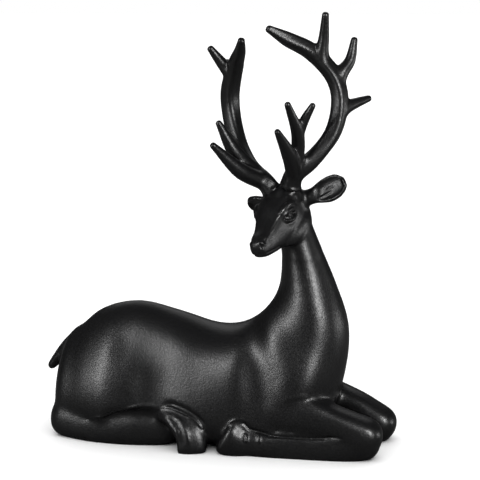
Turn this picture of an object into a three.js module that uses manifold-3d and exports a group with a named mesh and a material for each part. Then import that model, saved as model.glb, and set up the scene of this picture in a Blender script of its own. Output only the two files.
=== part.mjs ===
// A stag lying with folded legs and its head turned to its right, cast in iron and painted black.
// The body is one casting. Each antler is a casting of its own that stands on a rimmed seat on the skull.
// Millimetres, +Z up. The stag lies along +X with its right flank towards -Y, and the origin is on the
// underside, in the middle of its sole.
import * as THREE from 'three';
import { mergeVertices } from 'three/addons/utils/BufferGeometryUtils.js';
import Module from 'manifold-3d';

const wasm = await Module();
wasm.setup();

// Driving dimensions
const CROUP_HEIGHT = 98.7; // ground to the highest point of the hindquarters
const HALF_WIDTH = 40; // half the width of the trunk at the haunches
const HEAD_LENGTH = 58; // poll to nose
const GAP = 0.3; // between an antler and its seat
const SOLE_CUT = 60; // depth of the block that trims the underside flat

// Head: place of the poll, and the way the face points
const POLL = new THREE.Vector3(48, -5, 185);
const HEAD_TURN = -104; // degrees from +X, to the stag's right
const HEAD_DROP = 24; // degrees that the face points below the horizon
const HEAD_TILT = 10; // degrees that the left side of the head is raised

// Knees and how far the far foreleg is pushed forward of the near one
const NEAR_KNEE = new THREE.Vector3(109, -22.5, 15.4);
const FAR_KNEE = new THREE.Vector3(113, 21, 12);

// How far each ear reaches out, and how much its tip drops
const LEFT_EAR = { reach: 0.97, droop: -1.5 };
const RIGHT_EAR = { reach: 0.86, droop: 10 };

const ACROSS_BODY = new THREE.Vector3(0, 1, 0);

const CAP_POWER = 2.3; // roundness of a limb's end

// Three axes that the head's stations are given in: along the face, to the stag's left, and up.
function headFrame() {
  const turn = THREE.MathUtils.degToRad(HEAD_TURN);
  const drop = THREE.MathUtils.degToRad(HEAD_DROP);
  const tilt = THREE.MathUtils.degToRad(HEAD_TILT);
  const level = new THREE.Vector3(Math.cos(turn), Math.sin(turn), 0);
  const side = new THREE.Vector3(-Math.sin(turn), Math.cos(turn), 0);
  const zenith = new THREE.Vector3(0, 0, 1);
  const face = level.clone().multiplyScalar(Math.cos(drop)).addScaledVector(zenith, -Math.sin(drop));
  const crown = level.clone().multiplyScalar(Math.sin(drop)).addScaledVector(zenith, Math.cos(drop));
  const left = side.clone().multiplyScalar(Math.cos(tilt)).addScaledVector(crown, Math.sin(tilt));
  const up = crown.clone().multiplyScalar(Math.cos(tilt)).addScaledVector(side, -Math.sin(tilt));
  return new THREE.Matrix4().makeBasis(face, left, up).setPosition(POLL);
}

const HEAD = headFrame();

// A corner of a rounded section: power 2 is an ellipse, more is boxier, less is keeled.
function rounded(angle, power) {
  const c = Math.cos(angle);
  const s = Math.sin(angle);
  return [Math.sign(c) * Math.abs(c) ** (2 / power), Math.sign(s) * Math.abs(s) ** (2 / power)];
}

// A closed skin over rings. ringAt gives the centre, half width, half height and heading of the ring at 0 to 1.
// It may also give how square the ring is above and below its widest line, and how deep it is below it.
function skin(ringAt, { sides = 10, rings = 6, caps = [4, 4], capRings = [2, 2], power = 2.2, under = power }) {
  const points = [];
  const addRing = (t, scale, shift) => {
    const { centre, wide, tall, heading, above = power, below = under, depth = 1 } = ringAt(t);
    for (let i = 0; i < sides; i++) {
      const low = i * 2 > sides;
      const [c, s] = rounded((2 * Math.PI * i) / sides, low ? below : above);
      const height = scale * s * (low ? depth : 1);
      const point = centre.clone().addScaledVector(heading, shift);
      points.push(point.addScaledVector(wide, scale * c).addScaledVector(tall, height));
    }
  };
  const capAt = (k, count) => rounded((Math.PI / 2) * (k / count), CAP_POWER);
  for (let k = 1; k < capRings[0]; k++) {
    const [back, scale] = capAt(k, capRings[0]);
    addRing(0, scale, -caps[0] * back);
  }
  for (let k = 0; k <= rings; k++) addRing(k / rings, 1, 0);
  for (let k = capRings[1] - 1; k > 0; k--) {
    const [ahead, scale] = capAt(k, capRings[1]);
    addRing(1, scale, caps[1] * ahead);
  }
  const tail = points.length;
  const lastRing = tail - sides;
  const start = ringAt(0);
  const end = ringAt(1);
  points.push(start.centre.clone().addScaledVector(start.heading, -caps[0]));
  points.push(end.centre.clone().addScaledVector(end.heading, caps[1]));
  const faces = [];
  for (let i = 0; i < sides; i++) {
    const next = (i + 1) % sides;
    faces.push(tail, next, i);
    faces.push(tail + 1, lastRing + i, lastRing + next);
    for (let ring = 0; ring < lastRing; ring += sides) {
      faces.push(ring + i, ring + next, ring + sides + next);
      faces.push(ring + i, ring + sides + next, ring + sides + i);
    }
  }
  return new THREE.BufferGeometry().setFromPoints(points).setIndex(faces);
}

// A limb through stations of [x, y, z, half width, half height], its rings square to the line.
function limb(stations, across, options) {
  const line = new THREE.CatmullRomCurve3(stations.map((s) => new THREE.Vector3(s[0], s[1], s[2])));
  const sizes = new THREE.CatmullRomCurve3(stations.map((s) => new THREE.Vector3(s[3], s[4], 0)));
  const ringAt = (t) => {
    const heading = line.getTangent(t);
    const size = sizes.getPoint(t);
    const wide = across.clone().addScaledVector(heading, -across.dot(heading)).normalize();
    const tall = new THREE.Vector3().crossVectors(heading, wide);
    return { centre: line.getPoint(t), wide: wide.multiplyScalar(size.x), tall: tall.multiplyScalar(size.y), heading };
  };
  return skin(ringAt, options);
}

// Raises or sinks the skin on both flanks, as a muscle or a hollow, fading out over the reach along each axis.
function swell(geometry, [x, y, z], [reachX, reachY, reachZ], lift) {
  geometry.computeVertexNormals();
  const position = geometry.getAttribute('position');
  const normal = geometry.getAttribute('normal');
  const point = new THREE.Vector3();
  const out = new THREE.Vector3();
  for (let i = 0; i < position.count; i++) {
    point.fromBufferAttribute(position, i);
    out.fromBufferAttribute(normal, i);
    const away = ((point.x - x) / reachX) ** 2 + ((Math.abs(point.y) - y) / reachY) ** 2 + ((point.z - z) / reachZ) ** 2;
    point.addScaledVector(out, lift * Math.exp(-away));
    position.setXYZ(i, point.x, point.y, point.z);
  }
  return geometry;
}

function mirrored(geometry) {
  const copy = geometry.clone().scale(1, -1, 1);
  const index = copy.index.array;
  for (let i = 0; i < index.length; i += 3) {
    [index[i + 1], index[i + 2]] = [index[i + 2], index[i + 1]];
  }
  return copy;
}

function solid(geometry) {
  const plain = new THREE.BufferGeometry().setAttribute('position', geometry.getAttribute('position').clone());
  if (geometry.index) plain.setIndex(geometry.index.clone());
  const merged = mergeVertices(plain, 1e-4);
  const vertProperties = new Float32Array(merged.getAttribute('position').array);
  const triVerts = new Uint32Array(merged.index.array);
  return new wasm.Manifold(new wasm.Mesh({ numProp: 3, vertProperties, triVerts }));
}

function geometryOf(manifold) {
  const mesh = manifold.getMesh();
  const positions = new Float32Array(mesh.numVert * 3);
  for (let i = 0; i < mesh.numVert; i++) {
    positions.set(mesh.vertProperties.subarray(i * mesh.numProp, i * mesh.numProp + 3), i * 3);
  }
  const geometry = new THREE.BufferGeometry();
  geometry.setAttribute('position', new THREE.BufferAttribute(positions, 3));
  geometry.setIndex(new THREE.BufferAttribute(new Uint32Array(mesh.triVerts), 1));
  return geometry;
}

// Trunk and neck in one skin, from the rump over the loin, up round the withers and on to the poll.
// Each station is [top x, top z, underside x, underside z, half width, shift to the left, belt, crown]. The belt
// is how high the widest line runs, as a share of the height. The crown is how square the ring is over it.
function trunk() {
  const w = HALF_WIDTH;
  const stations = [
    [-106, 78, -110, -1, 33.5, 0, 0.38, 1.9],
    [-92, 89.8, -94, -2, 37.5, 0, 0.33, 1.8],
    [-76, 96.5, -76, -3, w, 0, 0.29, 1.75],
    [-58, CROUP_HEIGHT, -58, -3, w, 0, 0.28, 1.75],
    [-30, 92.6, -30, -3, w - 1.5, 0, 0.3, 1.95],
    [-2, 85, -1, -3, w, 0, 0.3, 2.1],
    [14, 85.8, 24, -3, w + 0.3, 0, 0.31, 2.2],
    [27.5, 92.4, 56, -2, w - 4, 0, 0.31, 2.05],
    [35.5, 99.8, 81, 22, w - 6.5, 0, 0.36, 2.4],
    [41.2, 108, 92.4, 56, w - 12, 0, 0.41, 2.1],
    [44.6, 117.5, 94.2, 88, 24, 0, 0.46, 1.95],
    [45.9, 129, 84.4, 119.5, 18.8, -0.5, 0.5, 1.95],
    [46, 141, 76.8, 138, 16, -1.5, 0.5, 1.95],
    [45, 154, 70.5, 153.5, 13.8, -3, 0.5, 1.95],
    [43, 170, 65, 168, 12, -4, 0.5, 1.95],
  ];
  const top = new THREE.CatmullRomCurve3(stations.map((s) => new THREE.Vector3(s[0], s[5], s[1])));
  const under = new THREE.CatmullRomCurve3(stations.map((s) => new THREE.Vector3(s[2], s[5], s[3])));
  const sizes = new THREE.CatmullRomCurve3(stations.map((s) => new THREE.Vector3(s[4], s[6], s[7])));
  const ringAt = (t) => {
    const high = top.getPoint(t);
    const low = under.getPoint(t);
    const { x: width, y: belt, z: crown } = sizes.getPoint(t);
    const wide = new THREE.Vector3(0, width, 0);
    const tall = high.clone().sub(low).multiplyScalar(1 - belt);
    const heading = new THREE.Vector3().crossVectors(wide, tall).normalize();
    const round = THREE.MathUtils.clamp((belt - 0.31) / 0.1, 0, 1);
    const below = THREE.MathUtils.lerp(2.2, 1.95, round);
    return { centre: low.lerp(high, belt), wide, tall, heading, above: crown, below, depth: belt / (1 - belt) };
  };
  const form = skin(ringAt, { sides: 22, rings: 27, caps: [14, 5], capRings: [4, 2] });
  swell(form, [-72, 38, 46], [20, 30, 32], 2.6);
  swell(form, [-56, 32, 70], [16, 24, 16], -2.2);
  swell(form, [-41, 38, 46], [15, 26, 18], -3);
  swell(form, [33, 36, 42], [12, 26, 26], -1.3);
  swell(form, [34, 30, 72], [13, 20, 17], 0.8);
  swell(form, [56.5, 36, 40], [11, 24, 24], 2.4);
  swell(form, [70, 30, 54], [13, 24, 18], 2.2);
  return form;
}

function tail() {
  const stations = [
    [-102, 0, 76, 5, 4],
    [-116.5, 0, 64, 7.5, 3.8],
    [-130, 0, 45.5, 6.5, 3.8],
  ];
  return limb(stations, ACROSS_BODY, { sides: 8, rings: 4, caps: [3, 4] });
}

// The hind leg's shank lies along the ground from the hock forward to the fetlock, tucked under the thigh.
function hindShank() {
  const stations = [
    [-109, -20.8, 13.2, 13.2, 14.4],
    [-86, -25.5, 11, 13, 14.5],
    [-62, -27, 10.5, 12, 13.5],
    [-44, -25.5, 11, 11, 13],
    [-33, -24, 12, 10.5, 12.5],
  ];
  return limb(stations, ACROSS_BODY, { rings: 8, caps: [14, 7], capRings: [4, 2], power: 2.2, under: 3.6 });
}

// The space cut in under the thigh, so that its edge overhangs the shank.
function thighTuck() {
  const stations = [
    [-82, -45.5, 13, 4.5, 5],
    [-66, -44, 18, 9, 9],
    [-42, -43, 20.5, 9.5, 9.5],
    [-22, -43, 18, 10, 10],
    [-2, -44, 10, 8, 8],
  ];
  return limb(stations, ACROSS_BODY, { sides: 8, rings: 7, caps: [6, 6] });
}

// Three toes of the hind foot, turned out and down to the ground side by side.
function hindToe(place) {
  const stations = [
    [-35 + 6 * place, -25, 17 + 2.5 * place, 5.2, 6.5],
    [-25.5 + 7.5 * place, -34.5 + 0.5 * place, 16 + 2 * place, 5, 5],
    [-19 + 7.5 * place, -40.5 + 0.5 * place, 8 + 1.3 * place, 4.7, 4.7],
    [-16 + 7 * place, -41.5 + 0.6 * place, 2 + 0.4 * place, 4.4, 4],
  ];
  return limb(stations, new THREE.Vector3(1, 0.3, 0.5), { sides: 7, rings: 4, caps: [2, 2.5] });
}

// The upper foreleg comes down from the shoulder to the elbow.
function upperArm(side) {
  const stations = [
    [60, 8 * side, 88, 10, 12],
    [59, 19.5 * side, 58, 13.5, 17],
    [57, 22.5 * side, 33, 13.5, 18],
  ];
  return limb(stations, ACROSS_BODY, { rings: 4, caps: [6, 14], capRings: [2, 3], power: 2.1 });
}

function foreArm(knee, side) {
  const stations = [
    [44, 23.5 * side, 29.5, 13.5, 15.5],
    [68, 24.5 * side, 28.8, 13.4, 15.2],
    [knee.x - 19, knee.y + 1.6 * side, 24, 12.8, 11.6],
    [knee.x, knee.y, knee.z, 13.4, 13.8],
  ];
  return limb(stations, ACROSS_BODY, { rings: 7, caps: [6, 14], capRings: [2, 4], power: 2.8, under: 2.7 });
}

// The folded lower foreleg runs back along the ground from the knee and ends in an upturned hoof.
function foreShank(knee, side) {
  const stations = [
    [knee.x - 1, knee.y, 11.5, 12.5, 13.8],
    [84, 24.5 * side, 5.5, 12.6, 17],
    [56, 28 * side, 5, 11.4, 17],
    [40, 31 * side, 6, 10, 11.3],
    [30, 33 * side, 7.5, 8.6, 10.5],
    [20, 35.5 * side, 8.5, 9, 13],
    [13.5, 36.5 * side, 12.5, 9.5, 13.3],
  ];
  return limb(stations, ACROSS_BODY, { rings: 12, caps: [13, 2.5], capRings: [4, 2], power: 2.4 });
}

function head() {
  const stations = [
    [-6, 0, -8.5, 9.5, 10.5],
    [4, 0, -9.5, 13, 15],
    [14, 0, -12.5, 13.8, 17],
    [24, 0, -14.2, 12.6, 15.7],
    [34, 0, -15.6, 9.8, 12.7],
    [43, 0, -15.8, 7.4, 10],
    [51, 0, -15, 6.4, 8],
    [HEAD_LENGTH - 3, 0, -14.4, 5.8, 6.2],
  ];
  const options = { sides: 16, rings: 13, caps: [6, 3], capRings: [2, 3], power: 2.9, under: 2.4 };
  return limb(stations, ACROSS_BODY, options).applyMatrix4(HEAD);
}

// The bony brow over each eye.
function brow(side) {
  const stations = [
    [15, 10.5 * side, -2.5, 3, 3],
    [24, 11.4 * side, -2.8, 3.2, 3],
    [31.5, 8.4 * side, -5.5, 2.2, 2.4],
  ];
  return limb(stations, ACROSS_BODY, { sides: 8, rings: 3, caps: [3, 3] }).applyMatrix4(HEAD);
}

function eye(side) {
  return new THREE.SphereGeometry(3.4, 8, 5).translate(23.6, 11.4 * side, -7.4).applyMatrix4(HEAD);
}

function nostril(side) {
  const pit = new THREE.SphereGeometry(1, 8, 5).scale(1.8, 2, 1.4);
  return pit.translate(HEAD_LENGTH - 2.6, 4.6 * side, -11.4).applyMatrix4(HEAD);
}

// The round of the jaw.
function cheek(side) {
  const stations = [
    [1, 7.8 * side, -17.5, 5.8, 9],
    [8, 9.2 * side, -23.5, 6.1, 9.5],
    [18, 7.8 * side, -24.5, 6.1, 9.2],
    [29, 4.8 * side, -22, 4.5, 7.4],
  ];
  return limb(stations, ACROSS_BODY, { sides: 8, rings: 4, caps: [6, 5] }).applyMatrix4(HEAD);
}

// A leaf-shaped ear with its open side hollowed out. The right ear is held lower and folded shorter.
function earForm(side, stations, options) {
  const { reach, droop } = side > 0 ? LEFT_EAR : RIGHT_EAR;
  const placed = stations.map(([a, b, c, w, h]) => [a, (9 + (b - 9) * reach) * side, c - (droop * (b - 9)) / 33, w, h]);
  return solid(limb(placed, new THREE.Vector3(0.25, 0, 1), options).applyMatrix4(HEAD));
}

function ear(side) {
  const leaf = [
    [-2, 9, -11, 6.5, 5],
    [-4, 19, -9.8, 7.2, 4.6],
    [-6, 30, -8, 10.4, 4.5],
    [-8, 37, -6.5, 9.8, 4],
    [-9, 41, -5.5, 6.8, 3],
  ];
  const hollow = [
    [0.5, 21, -9, 3, 2.5],
    [0, 30, -7.5, 7.6, 4],
    [-2.5, 37, -6, 7, 3.6],
  ];
  const outer = earForm(side, leaf, { rings: 6, caps: [2, 3] });
  const inner = earForm(side, hollow, { sides: 8, rings: 4, caps: [2, 2.5] });
  return outer.subtract(inner);
}

// Antlers, in the head's axes: along the face, out to the side, and up. Each antler's beam is given by stations of
// [along, out, up, half width], and each tine by its root on the beam, its bend and its tip.
const SEAT = [5, 9.4, 2];
const SEAT_RADIUS = 7.8;
const PEDICLE = [3.4, 12.8, 8.8];
const LEFT_ANTLER = {
  beam: [
    [-6, 23, 15.4, 6.4],
    [-14, 31.2, 20.4, 6.2],
    [-24.5, 39.5, 28.6, 6.1],
    [-36.5, 44.8, 45, 6],
    [-42.5, 43, 60, 6],
    [-45, 31, 80, 5.6],
    [-40, 20, 93.5, 4.8],
    [-34.5, 12.3, 105, 3],
  ],
  brow: [[3, 14, 9, 6.4], [10, 20.5, 30, 5.4], [22, 26.3, 54.4, 2.3]],
  bez: [[1, 17, 17, 5.2], [-1, 25.5, 39, 4.8], [3, 29, 64.4, 2.3]],
  bezFork: [[-1, 25, 38, 4], [-6, 32, 48, 3.4], [-10.4, 38.8, 55.3, 2.2]],
  tray: [[-32, 43, 39.5, 5.8], [-43, 50.5, 36.2, 4.2], [-53.5, 57, 35.6, 2.4]],
  fork: [[-42, 42, 57.5, 5.8], [-54, 51.5, 62.5, 4.4], [-64, 55.4, 76, 2.4]],
  crown: [[-45, 36, 71, 5.4], [-48, 41.2, 84, 4.2], [-52, 47.2, 101.7, 2.5]],
};
const RIGHT_ANTLER = {
  ...LEFT_ANTLER,
  beam: [
    [-6, 23, 15.4, 6.4],
    [-14, 31.2, 20.4, 6.4],
    [-24.5, 39.5, 28.6, 6.6],
    [-36.5, 44.3, 45, 6.6],
    [-42.5, 42.5, 60, 6.8],
    [-45, 30.5, 80, 6.2],
    [-40, 20, 91, 5],
    [-34.5, 12.5, 100, 3],
  ],
  brow: [[4, 13, 8, 6.6], [15, 19, 26, 6.2], [24, 25.3, 51.5, 2.4]],
  bez: [[0, 18, 17, 6], [5, 24.5, 36, 5.6], [4.5, 28, 58.5, 2.4]],
  bezFork: [[1, 25, 38, 4], [-3, 31, 46, 3.4], [-8, 36.5, 50, 2.2]],
  fork: [[-42, 42, 57, 5.2], [-52, 46, 66, 4], [-57, 45, 78, 2.3]],
  crown: [[-45, 37, 71, 5.6], [-45, 41.5, 82, 4.4], [-44, 45.6, 95, 2.6]],
};

function antler(side) {
  const across = new THREE.Vector3(1, 0.2, 0.3);
  const form = (stations, options) => {
    const placed = stations.map(([a, b, c, r]) => [a, b * side, c, r, r]);
    return solid(limb(placed, across, { power: 1.9, ...options }).applyMatrix4(HEAD));
  };
  const { beam, ...tines } = side > 0 ? LEFT_ANTLER : RIGHT_ANTLER;
  const stem = [[...SEAT, SEAT_RADIUS], [...PEDICLE, 7.4], ...beam];
  let whole = form(stem, { rings: 25, caps: [0, 2.5], capRings: [1, 3] });
  for (const stations of Object.values(tines)) whole = whole.add(form(stations, { sides: 7, rings: 5, caps: [1, 2] }));
  return whole;
}

// A disc square to the foot of an antler, between two heights over its seat.
function disc(side, low, high, radius) {
  const top = new THREE.Vector3(...SEAT);
  const out = new THREE.Vector3(...PEDICLE).sub(top).normalize();
  const stations = [low, high].map((height) => {
    const at = top.clone().addScaledVector(out, height);
    return [at.x, at.y * side, at.z, radius, radius];
  });
  const across = new THREE.Vector3(1, 0.2, 0.3);
  return limb(stations, across, { sides: 12, rings: 1, caps: [0, 0], capRings: [1, 1] }).applyMatrix4(HEAD);
}

function body() {
  const tuck = thighTuck();
  let whole = solid(trunk()).subtract(solid(tuck)).subtract(solid(mirrored(tuck)));
  const hind = [hindShank(), hindToe(0), hindToe(1), hindToe(2)];
  const fore = [[NEAR_KNEE, -1], [FAR_KNEE, 1]].flatMap(([knee, side]) => [
    upperArm(side),
    foreArm(knee, side),
    foreShank(knee, side),
  ]);
  const skull = [head(), ...[1, -1].flatMap((side) => [brow(side), eye(side), cheek(side)])];
  for (const piece of [...hind, ...hind.map(mirrored), ...fore, tail(), ...skull]) {
    whole = whole.add(solid(piece));
  }
  const below = new THREE.BoxGeometry(600, 400, SOLE_CUT).translate(0, 0, -SOLE_CUT / 2);
  for (const side of [1, -1]) {
    const seat = solid(disc(side, -7, -GAP, SEAT_RADIUS + 0.6));
    const room = solid(disc(side, -GAP, 9, SEAT_RADIUS + 0.6));
    whole = whole.add(seat).add(ear(side)).subtract(room).subtract(solid(nostril(side)));
  }
  return whole.subtract(solid(below));
}

const stag = new THREE.Group();
const castings = { stag_body: body(), left_antler: antler(1), right_antler: antler(-1) };
for (const [name, form] of Object.entries(castings)) {
  const paint = new THREE.MeshStandardMaterial({ color: 0x1b1b1c, roughness: 0.42, metalness: 0 });
  const mesh = new THREE.Mesh(geometryOf(form), paint);
  mesh.name = name;
  stag.add(mesh);
}

export default stag;
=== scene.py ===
"""Recumbent stag in painted cast iron: a body casting and two antler castings, on a pale studio floor."""

import logging
import math
from dataclasses import dataclass, field, replace
from enum import Enum

import bpy
import numpy as np
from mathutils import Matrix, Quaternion, Vector
from mathutils.bvhtree import BVHTree


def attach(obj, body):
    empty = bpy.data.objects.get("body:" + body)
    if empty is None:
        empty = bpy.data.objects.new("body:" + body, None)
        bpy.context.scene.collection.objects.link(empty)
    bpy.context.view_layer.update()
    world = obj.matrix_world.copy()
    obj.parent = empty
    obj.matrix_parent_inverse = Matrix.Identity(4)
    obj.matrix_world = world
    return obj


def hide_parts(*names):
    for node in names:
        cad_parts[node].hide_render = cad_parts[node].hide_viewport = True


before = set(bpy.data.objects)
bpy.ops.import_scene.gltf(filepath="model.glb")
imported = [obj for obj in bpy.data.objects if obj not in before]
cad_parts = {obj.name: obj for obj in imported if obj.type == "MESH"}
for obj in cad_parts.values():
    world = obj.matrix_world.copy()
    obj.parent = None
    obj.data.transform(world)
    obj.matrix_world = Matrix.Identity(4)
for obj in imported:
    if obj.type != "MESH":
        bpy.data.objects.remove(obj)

LOG = logging.getLogger("stag")
MM = 0.001
ACROSS_BODY = (0.0, 1.0, 0.0)
ACROSS_ANTLER = (1, 0.2, 0.3)  # in the head's axes
CAP_POWER = 2.3  # roundness of a limb's end
SAME_PLACE = 1e-4  # root of the gap under which two stations count as one
HEADING_STEP = 1e-4  # share of a curve over which its direction is read
CREASE_DEGREES = 60  # faces that meet at a sharper angle keep their edge

Array = np.ndarray
Point = tuple[float, float, float]
Stations = list[tuple[float, ...]]


class Side(Enum):
    """A side of the stag, with its sign along the body's Y axis and the head's left axis."""

    LEFT = 1
    RIGHT = -1


def on_side(point: Point | Array, side: Side) -> Point:
    """Gives a point of the left side on either side."""
    return (point[0], point[1] * side.value, point[2])


# Hand tools


def deselect() -> None:
    """Goes to object mode with nothing selected."""
    if bpy.context.mode != "OBJECT":
        bpy.ops.object.mode_set(mode="OBJECT")
    bpy.ops.object.select_all(action="DESELECT")


def pick(obj: bpy.types.Object) -> None:
    """Makes one object the only one selected, and active.

    Args:
        obj: Object to select.
    """
    deselect()
    obj.select_set(True)
    bpy.context.view_layer.objects.active = obj


def joined(name: str, parts: list[bpy.types.Object]) -> bpy.types.Object:
    """Joins objects into one.

    Args:
        name: Name of the joined object.
        parts: Objects to join, which are used up.

    Returns:
        The joined object.
    """
    pick(parts[0])
    for part in parts[1:]:
        part.select_set(True)
    bpy.ops.object.join()
    whole = bpy.context.object
    whole.name = whole.data.name = name
    return whole


def apply_modifier(obj: bpy.types.Object, kind: str, **settings: object) -> None:
    """Adds a modifier to an object and applies it.

    Args:
        obj: Object to change.
        kind: Modifier type.
        settings: Values for the modifier's own fields.
    """
    pick(obj)
    modifier = obj.modifiers.new(kind.title(), kind)
    for key, value in settings.items():
        setattr(modifier, key, value)
    bpy.ops.object.modifier_apply(modifier=modifier.name)


def copy_of(obj: bpy.types.Object) -> bpy.types.Object:
    """Copies an object with a mesh of its own.

    Args:
        obj: Object to copy.

    Returns:
        The copy.
    """
    pick(obj)
    bpy.ops.object.duplicate()
    return bpy.context.object


def cut(obj: bpy.types.Object, cutter: bpy.types.Object) -> bpy.types.Object:
    """Cuts one closed form out of another.

    Args:
        obj: Form to cut.
        cutter: Form to cut away, which is used up.

    Returns:
        The cut form.
    """
    apply_modifier(obj, "BOOLEAN", operation="DIFFERENCE", solver="EXACT", object=cutter)
    bpy.data.objects.remove(cutter)
    return obj


def trim(obj: bpy.types.Object, point: Point, normal: Point, above: bool, fill: bool) -> None:
    """Cuts an object's mesh along a plane and keeps one side.

    Args:
        obj: Object to cut.
        point: A point of the plane, in millimetres.
        normal: Direction of the plane's upper side.
        above: Whether the upper side is kept, and otherwise the lower one.
        fill: Whether the cut is closed.
    """
    pick(obj)
    bpy.ops.object.mode_set(mode="EDIT")
    bpy.ops.mesh.select_all(action="SELECT")
    place = tuple(v * MM for v in point)
    bpy.ops.mesh.bisect(
        plane_co=place, plane_no=normal, use_fill=fill, clear_inner=above, clear_outer=not above
    )
    bpy.ops.object.mode_set(mode="OBJECT")


def rounded(angle: Array, power: Array | float) -> tuple[Array, Array]:
    """Gives points of a rounded section: power 2 is an ellipse, more is boxier, less is keeled.

    Args:
        angle: Angles round the section.
        power: Roundness at each angle.

    Returns:
        The two coordinates of each point.
    """
    c, s = np.cos(angle), np.sin(angle)
    return np.sign(c) * np.abs(c) ** (2 / power), np.sign(s) * np.abs(s) ** (2 / power)


def unit(vectors: Array) -> Array:
    """Scales vectors to length one."""
    return vectors / np.linalg.norm(vectors, axis=-1, keepdims=True)


class Spine:
    """A smooth centripetal curve through stations, the same curve that the solids follow."""

    def __init__(self, stations: Stations) -> None:
        """Keeps the stations, with one more beyond each end."""
        points = np.array(stations, float)
        self.knots = np.vstack([2 * points[0] - points[1], points, 2 * points[-1] - points[-2]])

    def at(self, t: Array) -> Array:
        """Gives points on the curve.

        Args:
            t: Places along the curve, 0 to 1.

        Returns:
            One point for each place.
        """
        spans = len(self.knots) - 3
        s = np.clip(t, 0, 1) * spans
        i = np.minimum(s.astype(int), spans - 1)
        w = (s - i)[:, None]
        p0, p1, p2, p3 = (self.knots[i + k] for k in range(4))
        gaps = (p1 - p0, p2 - p1, p3 - p2)
        d0, d1, d2 = (np.sqrt(np.linalg.norm(gap, axis=1))[:, None] for gap in gaps)
        d1 = np.where(d1 < SAME_PLACE, 1.0, d1)
        d0 = np.where(d0 < SAME_PLACE, d1, d0)
        d2 = np.where(d2 < SAME_PLACE, d1, d2)
        m1 = ((p1 - p0) / d0 - (p2 - p0) / (d0 + d1) + (p2 - p1) / d1) * d1
        m2 = ((p2 - p1) / d1 - (p3 - p1) / (d1 + d2) + (p3 - p2) / d2) * d1
        cube = 2 * p1 - 2 * p2 + m1 + m2
        square = -3 * p1 + 3 * p2 - 2 * m1 - m2
        return p1 + w * (m1 + w * (square + w * cube))

    def heading(self, t: Array) -> Array:
        """Gives the unit directions along the curve at places 0 to 1."""
        return unit(self.at(np.minimum(t + HEADING_STEP, 1)) - self.at(np.maximum(t - HEADING_STEP, 0)))


@dataclass(frozen=True)
class HeadAxes:
    """The head's own axes, along the face, to the stag's left and up: millimetres and degrees."""

    poll: Point = (48, -5, 185)
    turn: float = -104
    drop: float = 24
    tilt: float = 10

    def basis(self) -> Array:
        """Works out the three axes from the head's turn, drop and tilt.

        Returns:
            The axes as the rows of a matrix.
        """
        turn, drop, tilt = (math.radians(a) for a in (self.turn, self.drop, self.tilt))
        level = np.array([math.cos(turn), math.sin(turn), 0])
        side = np.array([-math.sin(turn), math.cos(turn), 0])
        zenith = np.array([0, 0, 1])
        face = level * math.cos(drop) - zenith * math.sin(drop)
        crown = level * math.sin(drop) + zenith * math.cos(drop)
        left = side * math.cos(tilt) + crown * math.sin(tilt)
        up = crown * math.cos(tilt) - side * math.sin(tilt)
        return np.array([face, left, up])

    def place(self, points: Array) -> Array:
        """Turns points in the head's axes to the body's."""
        return np.asarray(points, float) @ self.basis() + np.array(self.poll)


HEAD_AXES = HeadAxes()


def on_head(point: Point, side: Side) -> Array:
    """Turns a point of the head's left half, on either side, to the body's axes."""
    return HEAD_AXES.place(on_side(point, side))


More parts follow.
